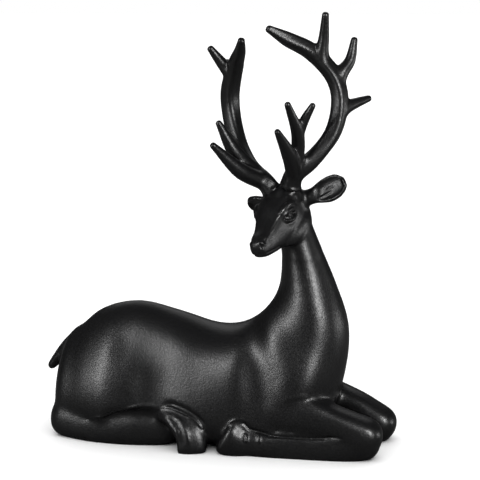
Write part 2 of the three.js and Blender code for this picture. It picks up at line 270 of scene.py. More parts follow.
@dataclass
class Loft:
    """A closed rounded form through stations of x, y, z, half width and half height."""

    name: str
    stations: Stations
    across: Point = ACROSS_BODY
    caps: tuple[float, float] = (4, 4)
    power: float = 2.2
    under: float = 0
    sides: int = 28
    rings: int = 36
    cap_rings: int = 7
    flutes: int = 0  # ridges that run along the form
    flute_depth: float = 0
    flute_twist: float = 0
    axes: HeadAxes | None = None

    def rings_at(self, t: Array) -> tuple[Array, Array, Array, Array]:
        """Gives the centre, half width, half height and heading of the rings.

        Args:
            t: Places along the form, 0 to 1.

        Returns:
            Four arrays of vectors.
        """
        line = Spine([s[:3] for s in self.stations])
        size = Spine([s[3:5] for s in self.stations]).at(t)
        heading = line.heading(t)
        across = np.array(self.across, float)
        wide = unit(across - heading * (heading @ across)[:, None])
        tall = np.cross(heading, wide)
        return line.at(t), wide * size[:, :1], tall * size[:, 1:], heading

    def below(self, t: Array) -> Array:
        """Gives the height under each ring's widest line as a share of the height over it."""
        return np.ones(len(t))

    def power_above(self, t: Array) -> Array:
        """Gives how square each ring is over its widest line."""
        return np.full(len(t), self.power)

    def power_below(self, t: Array) -> Array:
        """Gives how square each ring is under its widest line."""
        return np.full(len(t), self.under or self.power)

    def build(self) -> bpy.types.Object:
        """Adds a sphere and draws its rings out over the stations.

        Returns:
            The form, in metres.
        """
        deselect()
        steps = self.rings + 2 * self.cap_rings
        bpy.ops.mesh.primitive_uv_sphere_add(segments=self.sides, ring_count=steps, radius=1.0)
        obj = bpy.context.object
        obj.name = obj.data.name = self.name
        ball = vertices(obj)
        step = np.rint(np.arccos(np.clip(-ball[:, 2], -1, 1)) / math.pi * steps).astype(int)
        angle = np.arctan2(ball[:, 1], ball[:, 0])
        k = np.arange(steps + 1)
        t = np.clip((k - self.cap_rings) / self.rings, 0, 1)
        start, start_scale = rounded(np.minimum(k / self.cap_rings, 1) * math.pi / 2, CAP_POWER)
        end, end_scale = rounded(np.minimum((steps - k) / self.cap_rings, 1) * math.pi / 2, CAP_POWER)
        centre, wide, tall, heading = self.rings_at(t)
        centre = centre + heading * (end * self.caps[1] - start * self.caps[0])[:, None]
        scale = (start_scale * end_scale)[step]
        if self.flutes:
            turn = angle + self.flute_twist * 2 * math.pi * t[step]
            scale = scale * (1 + self.flute_depth * np.cos(self.flutes * turn))
        power = np.where(np.sin(angle) < 0, self.power_below(t)[step], self.power_above(t)[step])
        c, s = rounded(angle, power)
        s = np.where(s < 0, s * self.below(t)[step], s)
        points = centre[step] + wide[step] * (c * scale)[:, None] + tall[step] * (s * scale)[:, None]
        write_vertices(obj, self.axes.place(points) if self.axes else points)
        return obj


@dataclass
class TrunkLoft(Loft):
    """A loft whose rings lean with the back line.

    A station is top x, top z, underside x, underside z, half width, shift to the left, belt and crown.
    The belt is how high the widest line runs, as a share of the height. The crown is how square the ring is
    over it.
    """

    flat_belt: float = 0.31  # up to this belt the underside is flat
    round_over: float = 0.1  # and over this much more it turns round

    def belt(self, t: Array) -> Array:
        """Gives the height of the widest line at places 0 to 1."""
        return Spine([(s[6],) for s in self.stations]).at(t)

    def below(self, t: Array) -> Array:
        """Gives the height under the widest line as a share of the height over it."""
        return (self.belt(t) / (1 - self.belt(t)))[:, 0]

    def power_above(self, t: Array) -> Array:
        """Gives how square each ring is over its widest line."""
        return Spine([(s[7],) for s in self.stations]).at(t)[:, 0]

    def power_below(self, t: Array) -> Array:
        """Gives a flat underside to the low belt of the barrel and a round front to the chest and neck."""
        share = np.clip((self.belt(t)[:, 0] - self.flat_belt) / self.round_over, 0, 1)
        return self.under + (self.power - self.under) * share

    def rings_at(self, t: Array) -> tuple[Array, Array, Array, Array]:
        """Gives the widest line, half width, upper height and heading of the leaning rings.

        Args:
            t: Places along the form, 0 to 1.

        Returns:
            Four arrays of vectors.
        """
        high = Spine([(s[0], s[5], s[1]) for s in self.stations]).at(t)
        low = Spine([(s[2], s[5], s[3]) for s in self.stations]).at(t)
        width = Spine([(s[4],) for s in self.stations]).at(t)
        wide = width * np.array(ACROSS_BODY)
        tall = (high - low) * (1 - self.belt(t))
        return low + (high - low) * self.belt(t), wide, tall, unit(np.cross(wide, tall))


def head_form(name: str, stations: Stations, **shape: object) -> bpy.types.Object:
    """Builds a form in the head's axes."""
    return Loft(name, stations, axes=HEAD_AXES, **shape).build()


def vertices(obj: bpy.types.Object, what: str = "co") -> Array:
    """Reads a vector of every vertex of an object's mesh.

    Args:
        obj: Object to read.
        what: The vertex field, its place or its normal.

    Returns:
        One row for each vertex.
    """
    values = np.empty(len(obj.data.vertices) * 3, np.float32)
    obj.data.vertices.foreach_get(what, values)
    return values.reshape(-1, 3).astype(float)


def write_vertices(obj: bpy.types.Object, points: Array) -> None:
    """Moves every vertex of an object's mesh to a place in millimetres."""
    obj.data.vertices.foreach_set("co", (points * MM).astype(np.float32).ravel())
    obj.data.update()


@dataclass(frozen=True)
class Fold:
    """A line scored in the skin through a few points close to it, or raised where its depth is negative."""

    path: Stations
    width: float
    depth: float
    fade: float = 0.25  # share of the length over which each end runs out

    def shifted(self, x: float, y: float, z: float, width: float, depth: float) -> "Fold":
        """Gives a fold beside this one."""
        path = [(p[0] + x, p[1] + y, p[2] + z) for p in self.path]
        return replace(self, path=path, width=width, depth=depth)

    def on(self, side: Side) -> "Fold":
        """Gives the fold on a flank, where its own path is on the left one."""
        return replace(self, path=[on_side(p, side) for p in self.path])


class Skin:
    """The surface of a casting's pattern, smoothed, pressed and scored by hand, in millimetres."""

    LEVELS = 10  # steps of weight that a smoothing tells apart
    GROOVE_ROOM = 4  # widths from its line at which a groove has faded out

    def __init__(self, obj: bpy.types.Object) -> None:
        """Keeps the object that is worked on."""
        self.obj = obj

    def points(self) -> Array:
        """Gives every vertex's place."""
        return vertices(self.obj) / MM

    def normals(self) -> Array:
        """Gives every vertex's outward direction."""
        return vertices(self.obj, "normal")

    def near(self, at: Point, reach: Point | float) -> Array:
        """Gives a soft weight for every vertex round a place.

        Args:
            at: The middle of the place.
            reach: How far the weight fades, all round or along each axis.

        Returns:
            Weights from 0 to 1.
        """
        return np.exp(-((((self.points() - np.array(at)) / np.array(reach)) ** 2).sum(1)))

    def smooth(self, weights: Array | float, passes: int) -> None:
        """Smooths the skin, more where the weight is higher.

        Args:
            weights: One weight for each vertex, or one for all, 0 to 1.
            passes: How often each vertex moves towards its neighbours.
        """
        group = self.obj.vertex_groups.new(name="smoothed")
        every = np.full(len(self.obj.data.vertices), weights)
        levels = np.rint(np.clip(every, 0, 1) * self.LEVELS).astype(int)
        for level in range(1, self.LEVELS + 1):
            group.add(np.flatnonzero(levels == level).tolist(), level / self.LEVELS, "REPLACE")
        apply_modifier(self.obj, "SMOOTH", factor=0.5, iterations=passes, vertex_group=group.name)
        self.obj.vertex_groups.clear()

    def refine(self, weights: Array) -> None:
        """Splits the faces whose corners all have a weight over a half.

        Args:
            weights: One weight for each vertex.
        """
        pick(self.obj)
        mesh = self.obj.data
        counts = np.empty(len(mesh.polygons), np.int32)
        mesh.polygons.foreach_get("loop_total", counts)
        corners = np.empty(len(mesh.loops), np.int32)
        mesh.loops.foreach_get("vertex_index", corners)
        starts = np.concatenate([[0], np.cumsum(counts)[:-1]])
        chosen = np.minimum.reduceat(weights[corners], starts) > 0.5
        bpy.context.tool_settings.mesh_select_mode = (False, False, True)
        bpy.ops.object.mode_set(mode="EDIT")
        bpy.ops.mesh.select_all(action="DESELECT")
        bpy.ops.object.mode_set(mode="OBJECT")
        mesh.polygons.foreach_set("select", chosen & (counts == 4))
        bpy.ops.object.mode_set(mode="EDIT")
        bpy.ops.mesh.subdivide(number_cuts=1)
        bpy.ops.object.mode_set(mode="OBJECT")

    def trace(self, path: Stations, step: float = 0.4) -> tuple[Array, Array]:
        """Lays a line on the skin.

        Args:
            path: A few points close to the skin.
            step: Spacing along the line.

        Returns:
            Points of the line on the skin, and their places along it from 0 to 1.
        """
        length = np.linalg.norm(np.diff(np.array(path, float), axis=0), axis=1).sum()
        t = np.linspace(0, 1, max(4, int(length / step)))
        tree = BVHTree.FromObject(self.obj, bpy.context.evaluated_depsgraph_get())
        found = [tree.find_nearest(Vector(p * MM))[0] for p in Spine(path).at(t)]
        return np.array(found) / MM, t

    def along(self, path: Stations, reach: float, samples: int = 40) -> Array:
        """Gives a soft weight for every vertex beside a line.

        Args:
            path: A few points of the line.
            reach: How far the weight fades.
            samples: Points of the line that distances are taken from.

        Returns:
            Weights from 0 to 1.
        """
        points = self.points()
        best = np.full(len(points), np.inf)
        for sample in Spine(path).at(np.linspace(0, 1, samples)):
            best = np.minimum(best, ((points - sample) ** 2).sum(1))
        return np.exp(-best / reach**2)

    def beside(self, folds: list[Fold], reach: float) -> Array:
        """Gives a soft weight for every vertex beside any of some folds."""
        return np.maximum.reduce([self.along(fold.path, reach) for fold in folds])

    def score(self, fold: Fold) -> None:
        """Cuts a fold's groove in the skin, or raises its bead.

        Args:
            fold: The line, with its width and depth.
        """
        line, t = self.trace(fold.path)
        points = self.points()
        room = self.GROOVE_ROOM * fold.width
        close = np.flatnonzero(((points > line.min(0) - room) & (points < line.max(0) + room)).all(1))
        away = np.linalg.norm(points[close][:, None] - line[None], axis=2)
        run_out = np.clip(np.minimum(t, 1 - t) / fold.fade, 0, 1)[away.argmin(1)]
        depth = fold.depth * np.exp(-((away.min(1) / fold.width) ** 2))
        lift = -depth * run_out * run_out * (3 - 2 * run_out)
        points[close] += self.normals()[close] * lift[:, None]
        write_vertices(self.obj, points)

    def press(
        self, at: Point, reach: Point | float, lift: float, flanks: bool = False, front: float = 1.0
    ) -> None:
        """Raises or sinks the skin softly round a place.

        Args:
            at: Middle of the swelling.
            reach: How far it fades along each axis, or every way.
            lift: How far the middle goes out, or in where negative.
            flanks: Whether both flanks get it.
            front: How many times further it fades toward the chest than toward the rump.
        """
        away = self.points() - np.array(at)
        if flanks:
            away[:, 1] = np.abs(self.points()[:, 1]) - abs(at[1])
        away[:, 0] /= np.where(away[:, 0] > 0, front, 1.0)
        weight = np.exp(-((away / np.array(reach)) ** 2).sum(1))
        write_vertices(self.obj, self.points() + self.normals() * (lift * weight)[:, None])

    def mark_edges(self, name: str, spread: int, gain: float) -> None:
        """Stores how far each vertex stands proud of its neighbours, for the paint's rubbed edges.

        Args:
            name: Name of the attribute.
            spread: How often the measure is averaged with the neighbours.
            gain: Share of full rub for each millimetre of convexity per ring of neighbours.
        """
        mesh = self.obj.data
        pairs = np.empty(len(mesh.edges) * 2, np.int32)
        mesh.edges.foreach_get("vertices", pairs)
        a, b = pairs.reshape(-1, 2).T
        points, normals = self.points(), self.normals()
        count = np.bincount(a, minlength=len(points)) + np.bincount(b, minlength=len(points))
        count = np.maximum(count, 1)
        gap = points[b] - points[a]
        length = np.maximum((gap**2).sum(1), 1e-6)
        bend = np.bincount(a, -(gap * normals[a]).sum(1) / length, len(points))
        bend += np.bincount(b, (gap * normals[b]).sum(1) / length, len(points))
        bend /= count
        for _ in range(spread):
            bend = (np.bincount(a, bend[b], len(points)) + np.bincount(b, bend[a], len(points))) / count
        layer = mesh.attributes.new(name, "FLOAT", "POINT")
        layer.data.foreach_set("value", np.clip(bend * gain, 0, 1).astype(np.float32))


# Finishes


def linear(code: str) -> tuple[float, float, float, float]:
    """Turns an sRGB hex colour to linear RGBA."""
    parts = [int(code[i : i + 2], 16) / 255 for i in (1, 3, 5)]
    return (*(p / 12.92 if p <= 0.04045 else ((p + 0.055) / 1.055) ** 2.4 for p in parts), 1.0)


def add_node(
    tree: bpy.types.NodeTree, kind: str, inputs: dict[str, object], **settings: object
) -> bpy.types.Node:
    """Adds a node with its settings, values and links.

    Args:
        tree: Node tree to add to.
        kind: Node type.
        inputs: A value or an output socket for each named input.
        settings: Values for the node's own fields.

    Returns:
        The new node.
    """
    node = tree.nodes.new(kind)
    for key, value in settings.items():
        setattr(node, key, value)
    for key, value in inputs.items():
        socket = node.inputs[key]
        if isinstance(value, bpy.types.NodeSocket):
            tree.links.new(value, socket)
        else:
            socket.default_value = value
    return node


def mixed(
    tree: bpy.types.NodeTree, factor: bpy.types.NodeSocket, first: str, second: str
) -> bpy.types.NodeSocket:
    """Mixes two sRGB hex colours by a factor."""
    inputs = {"Factor": factor, "A": linear(first), "B": linear(second)}
    return add_node(tree, "ShaderNodeMix", inputs, data_type="RGBA").outputs["Result"]


@dataclass(frozen=True)
class BlackIronPaint:
    """Sand-cast iron under a satin black stove paint.

    The sand leaves a fine even grain that breaks up each soft highlight, and the paint is thinner and a
    little brighter along the raised edges.
    """

    name: str = "cast_iron_satin_black_paint"
    colour: str = "#09090a"
    thin_colour: str = "#0f0f10"
    grain_mm: float = 1.15  # casting sand is finer, and is drawn as coarse as it shows at this distance
    grain_depth_mm: float = 0.13
    grain_range: tuple[float, float] = (0.3, 0.7)  # where most of the noise lies
    cloud_mm: float = 22
    roughness: tuple[float, float] = (0.29, 0.41)
    refraction: float = 1.5
    edge_attribute: str = "edge_rub"
    edge_spread: int = 2  # rings of neighbours that share an edge's rub
    edge_gain: float = 2.0
    edge_polish: float = 0.12  # how much smoother a fully rubbed edge is

    def noise(
        self,
        tree: bpy.types.NodeTree,
        where: bpy.types.NodeSocket,
        size_mm: float,
        detail: float,
        rough: float,
    ) -> bpy.types.NodeSocket:
        """Adds an even noise.

        Args:
            tree: Node tree to add to.
            where: Coordinates that it is drawn on.
            size_mm: Size of its largest grains.
            detail: How many times it is repeated finer.
            rough: How strong the finer ones are.

        Returns:
            The noise, 0 to 1.
        """
        inputs = {"Vector": where, "Scale": 1 / (size_mm * MM), "Detail": detail, "Roughness": rough}
        return add_node(tree, "ShaderNodeTexNoise", inputs).outputs["Fac"]

    def material(self) -> bpy.types.Material:
        """Builds the paint's nodes on object coordinates.

        Returns:
            The material.
        """
        paint = bpy.data.materials.new(self.name)
        paint.use_nodes = True
        tree = paint.node_tree
        shader = tree.nodes["Principled BSDF"]
        shader.inputs["IOR"].default_value = self.refraction
        where = add_node(tree, "ShaderNodeTexCoord", {}).outputs["Object"]
        grain = self.noise(tree, where, self.grain_mm, detail=2.0, rough=0.5)
        cloud = self.noise(tree, where, self.cloud_mm, detail=3.0, rough=0.6)
        rub = add_node(tree, "ShaderNodeAttribute", {}, attribute_name=self.edge_attribute).outputs["Fac"]
        least, most = self.grain_range
        low, high = self.roughness
        gloss = add_node(
            tree,
            "ShaderNodeMapRange",
            {"Value": grain, "From Min": least, "From Max": most, "To Min": low, "To Max": high},
        ).outputs["Result"]
        worn_gloss = add_node(
            tree, "ShaderNodeMath", {0: rub, 1: -self.edge_polish, 2: gloss}, operation="MULTIPLY_ADD"
        ).outputs["Value"]
        tone = mixed(tree, cloud, self.colour, self.thin_colour)
        bump = add_node(
            tree, "ShaderNodeBump", {"Height": grain, "Strength": 1.0, "Distance": self.grain_depth_mm * MM}
        ).outputs["Normal"]
        tree.links.new(worn_gloss, shader.inputs["Roughness"])
        tree.links.new(tone, shader.inputs["Base Color"])
        tree.links.new(bump, shader.inputs["Normal"])
        return paint


@dataclass(frozen=True)
class PaleFloorPaper:
    """White background paper: matt and without a texture that could draw the eye, even to the camera, with
    painted shade where the paint mirrors it.
    """

    name: str = "white_background_paper"
    colour: str = "#f4f4f4"
    mirrored_shade: str = "#505050"  # painted shade: wherever the paint mirrors the paper, the paper takes this darker colour, which stands in for the shade on its front edge

    def material(self) -> bpy.types.Material:
        """Builds the paper's material.

        Returns:
            The material.
        """
        paper = bpy.data.materials.new(self.name)
        paper.use_nodes = True
        tree = paper.node_tree
        shader = tree.nodes["Principled BSDF"]
        # painted shade: the paper's colour is darkened for the rays that the paint mirrors
        mirrored_shade = add_node(tree, "ShaderNodeLightPath", {}).outputs["Is Glossy Ray"]
        tree.links.new(mixed(tree, mirrored_shade, self.colour, self.mirrored_shade), shader.inputs["Base Color"])
        shader.inputs["Roughness"].default_value = 1.0
        shader.inputs["Specular IOR Level"].default_value = 0.0
        return paper


# Studio


@dataclass(frozen=True)
class SoftBox:
    """A rectangular lamp that points at a place, in metres and watts."""

    name: str
    place: Point
    aim: Point
    size: tuple[float, float]
    watts: float
    roll: float = 0  # degrees that it leans in its own plane

    def build(self) -> None:
        """Adds the lamp."""
        deselect()
        bpy.ops.object.light_add(type="AREA", location=self.place)
        lamp = bpy.context.object
        lamp.name = lamp.data.name = self.name
        lamp.data.shape = "RECTANGLE"
        lamp.data.size, lamp.data.size_y = self.size
        lamp.data.energy = self.watts
        towards = Vector(self.aim) - Vector(self.place)
        lean = Quaternion((0, 0, 1), math.radians(self.roll))
        lamp.rotation_euler = (towards.to_track_quat("-Z", "Y") @ lean).to_euler()
        lamp.visible_diffuse = False
        lamp.visible_camera = False


@dataclass
class Studio:
    """The camera at the photograph's angle, the pale floor and the soft lamps."""

    azimuth: float = 14
    elevation: float = 10
    distance: float = 960
    aim: Point = (13, 8.5, 145)
    lens: float = 100
    sensor: float = 36
    nearest: float = 0.01  # metres from the camera
    floor_size: float = 80.0
    world_strength: float = 0.04
    sky_strength: float = 4.5  # even light from above that whitens the paper
    sky_spread: float = 120
    sky_place: Point = (0, 0, 2)
    lamps: list[SoftBox] = field(
        default_factory=lambda: [
            SoftBox("left_lamp", (-0.96, -1.33, 0.7), (0, 0, 0.12), (0.26, 1.4), 21, -17),
            SoftBox("right_lamp", (1.08, -1.08, 0.62), (0.03, 0, 0.12), (0.42, 0.7), 22),
            SoftBox("side_lamp", (1.65, 0.4, 0.13), (0.03, 0, 0.15), (0.8, 0.26), 4),
            SoftBox("back_lamp", (-0.4, 1.7, 1.5), (0, 0, 0.12), (2, 1.4), 5),
        ]
    )

    def camera(self) -> None:
        """Adds the camera and makes it the scene's own."""
        a, e = math.radians(self.azimuth), math.radians(self.elevation)
        back = Vector((math.sin(a) * math.cos(e), -math.cos(a) * math.cos(e), math.sin(e)))
        deselect()
        bpy.ops.object.camera_add(location=(Vector(self.aim) + back * self.distance) * MM)
        camera = bpy.context.object
        camera.rotation_euler = (-back).to_track_quat("-Z", "Y").to_euler()
        camera.data.lens = self.lens
        camera.data.sensor_width = self.sensor
        camera.data.clip_start = self.nearest
        bpy.context.scene.camera = camera

    def floor(self) -> None:
        """Lays the paper under the statue."""
        deselect()
        bpy.ops.mesh.primitive_plane_add(size=self.floor_size)
        floor = bpy.context.object
        floor.name = "studio_floor"
        floor.data.materials.append(PaleFloorPaper().material())

    def light(self) -> None:
        """Adds the lamps and the room's own dim light, with white behind the statue."""
        for lamp in self.lamps:
            lamp.build()
        deselect()
        bpy.ops.object.light_add(type="SUN", location=self.sky_place)
        sky = bpy.context.object
        sky.name = sky.data.name = "overhead_light"
        sky.data.energy = self.sky_strength
        sky.data.angle = math.radians(self.sky_spread)
        sky.visible_glossy = False
        world = bpy.data.worlds.new("studio_room")
        bpy.context.scene.world = world
        world.use_nodes = True
        tree = world.node_tree
        tree.nodes.clear()
        seen = add_node(tree, "ShaderNodeLightPath", {}).outputs["Is Camera Ray"]
        room = add_node(tree, "ShaderNodeBackground", {"Strength": self.world_strength}).outputs[0]
        white = add_node(tree, "ShaderNodeBackground", {"Color": (1, 1, 1, 1), "Strength": 1.0}).outputs[0]
        mix = add_node(tree, "ShaderNodeMixShader", {0: seen, 1: room, 2: white}).outputs[0]
        add_node(tree, "ShaderNodeOutputWorld", {"Surface": mix})
        bpy.context.scene.view_settings.view_transform = "Standard"

    def build(self) -> None:
        """Sets the studio up."""
        self.camera()
        self.floor()
        self.light()


# Body


# Middle, reach, lift and how many times further each one fades toward the chest, on both flanks.
FLANK_MUSCLES = {
    "thigh": ((-72, -38, 46), (20, 30, 32), 2.6, 1.0),
    "hollow_over_thigh": ((-56, -32, 70), (14, 24, 16), -2.2, 1.6),
    "hollow_before_thigh": ((-41, -38, 46), (13, 26, 18), -3.0, 1.6),
    "hollow_behind_arm": ((33, -36, 42), (12, 26, 26), -1.3, 1.0),
    "shoulder_blade": ((34, -30, 72), (13, 20, 17), 0.8, 1.0),
    "upper_arm": ((56.5, -36, 40), (11, 24, 24), 2.4, 1.0),
    "chest": ((70, -30, 54), (13, 24, 18), 2.2, 1.0),
}


@dataclass
class Trunk:
    """Rump, barrel, chest and neck in one swept form, with the tail laid on the rump."""

    croup_height: float = 98.7
    half_width: float = 40
    rump_passes: int = 40

    def forms(self) -> list[bpy.types.Object]:
        """Builds the trunk with its muscles and the tail.

        Returns:
            The trunk and the tail.
        """
        w = self.half_width
        stations = [
            (-106, 78, -110, -1, 33.5, 0, 0.38, 1.9),
            (-92, 89.8, -94, -2, 37.5, 0, 0.33, 1.8),
            (-76, 96.5, -76, -3, w, 0, 0.29, 1.75),
            (-58, self.croup_height, -58, -3, w, 0, 0.28, 1.75),
            (-30, 92.6, -30, -3, w - 1.5, 0, 0.3, 1.95),
            (-2, 85, -1, -3, w, 0, 0.3, 2.1),
            (14, 85.8, 24, -3, w + 0.3, 0, 0.31, 2.2),
            (27.5, 92.4, 56, -2, w - 4, 0, 0.31, 2.05),
            (35.5, 99.8, 81, 22, w - 6.5, 0, 0.36, 2.4),
            (41.2, 108, 92.4, 56, w - 12, 0, 0.41, 2.1),
            (44.6, 117.5, 94.2, 88, 24, 0, 0.46, 1.95),
            (45.9, 129, 84.4, 119.5, 18.8, -0.5, 0.5, 1.95),
            (46, 141, 76.8, 138, 16, -1.5, 0.5, 1.95),
            (45, 154, 70.5, 153.5, 13.8, -3, 0.5, 1.95),
            (43, 170, 65, 168, 12, -4, 0.5, 1.95),
        ]
        trunk = TrunkLoft(
            "trunk", stations, caps=(14, 5), power=1.95, under=2.2, sides=72, rings=150, cap_rings=14
        ).build()
        skin = Skin(trunk)
        skin.smooth(skin.near((-107, 0, 40), (8, 60, 50)), self.rump_passes)
        for at, reach, lift, front in FLANK_MUSCLES.values():
            skin.press(at, reach, lift, flanks=True, front=front)
        for side in Side:
            cut(trunk, self.thigh_tuck(side))
        tail = [(-102, 0, 76, 5, 4), (-116.5, 0, 64, 7.5, 3.8), (-130, 0, 45.5, 6.5, 3.8)]
        return [trunk, Loft("tail", tail, caps=(3, 4)).build()]

    def folds(self) -> list[Fold]:
        """Gives the lip along the thigh's lower edge and the lip of the chest over the forearm.

        Returns:
            The folds of the left flank.
        """
        rear = [(-91, 38.3, 16.5), (-80, 38.6, 20.4), (-71, 39, 24.2), (-62, 39.3, 27.6)]
        thigh = Fold([*rear, (-48.4, 39.3, 30.6), (-40, 37.5, 30.6), (-34, 36.8, 29.8)], 1.1, -0.9, 0.3)
        chest = [(53.7, 41, 41), (59.6, 40.5, 43.2), (66.9, 39.5, 44.4), (73.7, 38.5, 44), (80, 37, 42.5)]
        return [thigh, Fold(chest, 1.1, -0.5)]

    def thigh_tuck(self, side: Side) -> bpy.types.Object:
        """Builds the space under a thigh that lets its edge overhang the shank.

        Args:
            side: Side of the thigh.

        Returns:
            The form to cut away.
        """
        y = side.value
        stations = [
            (-82, 45.5 * y, 13, 4.5, 5),
            (-66, 44 * y, 18, 9, 9),
            (-42, 43 * y, 20.5, 9.5, 9.5),
            (-22, 43 * y, 18, 10, 10),
            (-2, 44 * y, 10, 8, 8),
        ]
        return Loft("thigh_tuck", stations, caps=(6, 6)).build()


@dataclass
class HindLeg:
    """A shank that lies along the ground under the thigh, and a cloven foot turned out and down."""

    side: Side

    def forms(self) -> list[bpy.types.Object]:
        """Builds the shank and the foot.

        Returns:
            The leg's forms.
        """
        y = self.side.value
        shank = [
            (-109, 20.8 * y, 13.2, 13.2, 14.4),
            (-86, 25.5 * y, 11, 13, 14.5),
            (-62, 27 * y, 10.5, 12, 13.5),
            (-44, 25.5 * y, 11, 11, 13),
            (-33, 24 * y, 12, 10.5, 12.5),
        ]
        foot = [
            (-37, 27 * y, 22, 6.5, 6),
            (-25, 35 * y, 23, 8.4, 5.4),
            (-13, 40 * y, 14.5, 10, 5),
            (-9.6, 41.2 * y, 6, 10.8, 4.8),
            (-9.2, 41.4 * y, 0, 11, 4.6),
        ]
        turned_out = (1, -0.3 * y, 0)
        return [
            Loft("shank", shank, caps=(14, 7), power=2.2, under=3.6, rings=60).build(),
            Loft("foot", foot, across=turned_out, caps=(3, 2), power=2.6, sides=40, rings=60).build(),
        ]

    def folds(self) -> list[Fold]:
        """Gives the foot's upper edge, the cleft between its toes and the ridges beside them.

        Returns:
            The folds of a left leg.
        """
        top = [(-34.7, 36.8, 29.6), (-27.9, 37.2, 30.3), (-18.3, 38.3, 28.1), (-9.4, 39, 24)]
        edge = Fold([*top, (-4.3, 40, 19.9), (-0.3, 40.5, 13.8)], 1.0, -0.6)
        cleft = Fold([(-30, 36, 23.6), (-21.5, 39.4, 19.4), (-16.6, 42, 13.8), (-13.6, 43.6, 3)], 1.1, 1.4)
        return [
            edge.shifted(1.2, -0.4, 2.6, 1.7, 1.4),
            edge,
            cleft,
            cleft.shifted(3.2, 0.4, 1.4, 1.3, -0.5),
            cleft.shifted(-3.4, -0.2, -1, 1.5, -0.35),
        ]


@dataclass
class Foreleg:
    """An upper arm, a forearm out to the knee, and a folded shank that ends in an upturned hoof."""

    side: Side
    knee: Point

    def forms(self) -> list[bpy.types.Object]:
        """Builds the leg.

        Returns:
            The leg's forms.
        """
        s = self.side.value
        x, y, z = self.knee
        upper = [(60, 8 * s, 88, 10, 12), (59, 19.5 * s, 58, 13.5, 17), (57, 22.5 * s, 33, 13.5, 18)]
        fore = [
            (44, 23.5 * s, 29.5, 13.5, 15.5),
            (68, 24.5 * s, 28.8, 13.4, 15.2),
            (x - 19, y + 1.6 * s, 24, 12.8, 11.6),
            (x, y, z, 13.4, 13.8),
        ]
        shank = [
            (x - 1, y, 11.5, 12.5, 13.8),
            (84, 24.5 * s, 5.5, 12.6, 17),
            (56, 28 * s, 5, 11.4, 17),
            (40, 31 * s, 6, 10, 11.3),
            (30, 33 * s, 7.5, 8.6, 10.5),
            (20, 35.5 * s, 8.5, 9, 13),
            (13.5, 36.5 * s, 12.5, 9.5, 13.3),
        ]
        return [
            Loft("upper_arm", upper, caps=(6, 14), power=2.1, rings=40).build(),
            Loft("forearm", fore, caps=(6, 14), power=2.8, under=2.7, rings=50).build(),
            Loft("fore_shank", shank, caps=(13, 2.5), power=2.4, rings=70).build(),
        ]

    def folds(self) -> list[Fold]:
        """Gives the crease between forearm and shank, the hoof's front edge and the dew claws.

        Returns:
            The folds of a left leg.
        """
        hoof = [(24.1, 37.3, 24.4), (27.9, 37, 22.8), (31.1, 37.1, 19.6), (34.3, 37.1, 18.6)]
        shank = [(41.4, 38, 17), (50.1, 38.6, 16), (66.7, 38.2, 15.8), (88.3, 37, 16.4), (100, 36.2, 17)]
        claw = Fold([(29.4, 38.2, 17.2), (29.8, 40.8, 13), (30, 41.5, 9.4)], 1.1, -0.8, 0.35)
        return [
            Fold([*hoof, *shank], 1.1, 1.1, 0.12),
            Fold([(15.7, 40, 20.5), (19.2, 38.8, 24.4), (22.2, 37.8, 26), (27.8, 36.8, 26.6)], 0.9, -0.6),
            claw,
            claw.shifted(9, -1.6, 0, 1.6, -0.8),
        ]


@dataclass
class Ear:
    """A leaf-shaped ear with its open side hollowed out."""

    side: Side
    reach: float
    droop: float
    across: Point  # from its lower edge to its upper one
    opening: Point  # where its hollow faces
    root_out: float = 9  # how far out its root is
    length: float = 33  # from there to the tip
    rim: float = 1.3  # width of the edge left round the hollow
    shallower: float = 0.4  # how much less deep the hollow is than the ear
    hollow_shifts: tuple[float, ...] = (3.5, 3.4, 3.1, 2.7)  # from the ear's middle toward the opening

    def leaf(self, name: str, stations: Stations, **shape: object) -> bpy.types.Object:
        """Builds a form that follows the ear out from the head.

        Args:
            name: Name of the form.
            stations: Stations of along, out, up, half width and half depth.
            shape: More fields of the loft.

        Returns:
            The form.
        """
        placed = []
        for along, out, up, width, depth in stations:
            beyond = out - self.root_out
            out = (self.root_out + beyond * self.reach) * self.side.value
            placed.append((along, out, up - self.droop * beyond / self.length, width, depth))
        return head_form(name, placed, across=self.across, sides=48, cap_rings=9, **shape)

    def forms(self) -> list[bpy.types.Object]:
        """Builds the ear.

        Returns:
            The hollowed ear alone.
        """
        root = [(-2, 9, -11, 6.5, 5), (-3.4, 18, -10, 6.2, 4.4), (-4.8, 25, -8.9, 8, 4)]
        blade = [(-6, 31.5, -7.8, 9.2, 3.7), (-7.4, 37, -6.6, 8.6, 3.3), (-8.2, 40.5, -5.9, 6.8, 2.8)]
        tip = [(-8.8, 42.6, -5.4, 4.6, 2.2)]
        along, out, up = self.opening
        hollow = [
            (a + k * along, b + k * out, c + k * up, w - self.rim, h - self.shallower)
            for (a, b, c, w, h), k in zip([root[-1], *blade], self.hollow_shifts)
        ]
        ear = self.leaf("ear", root + blade + tip, caps=(2, 1.4), rings=80)
        return [cut(ear, self.leaf("ear_hollow", hollow, caps=(5.5, 1.6), rings=60))]


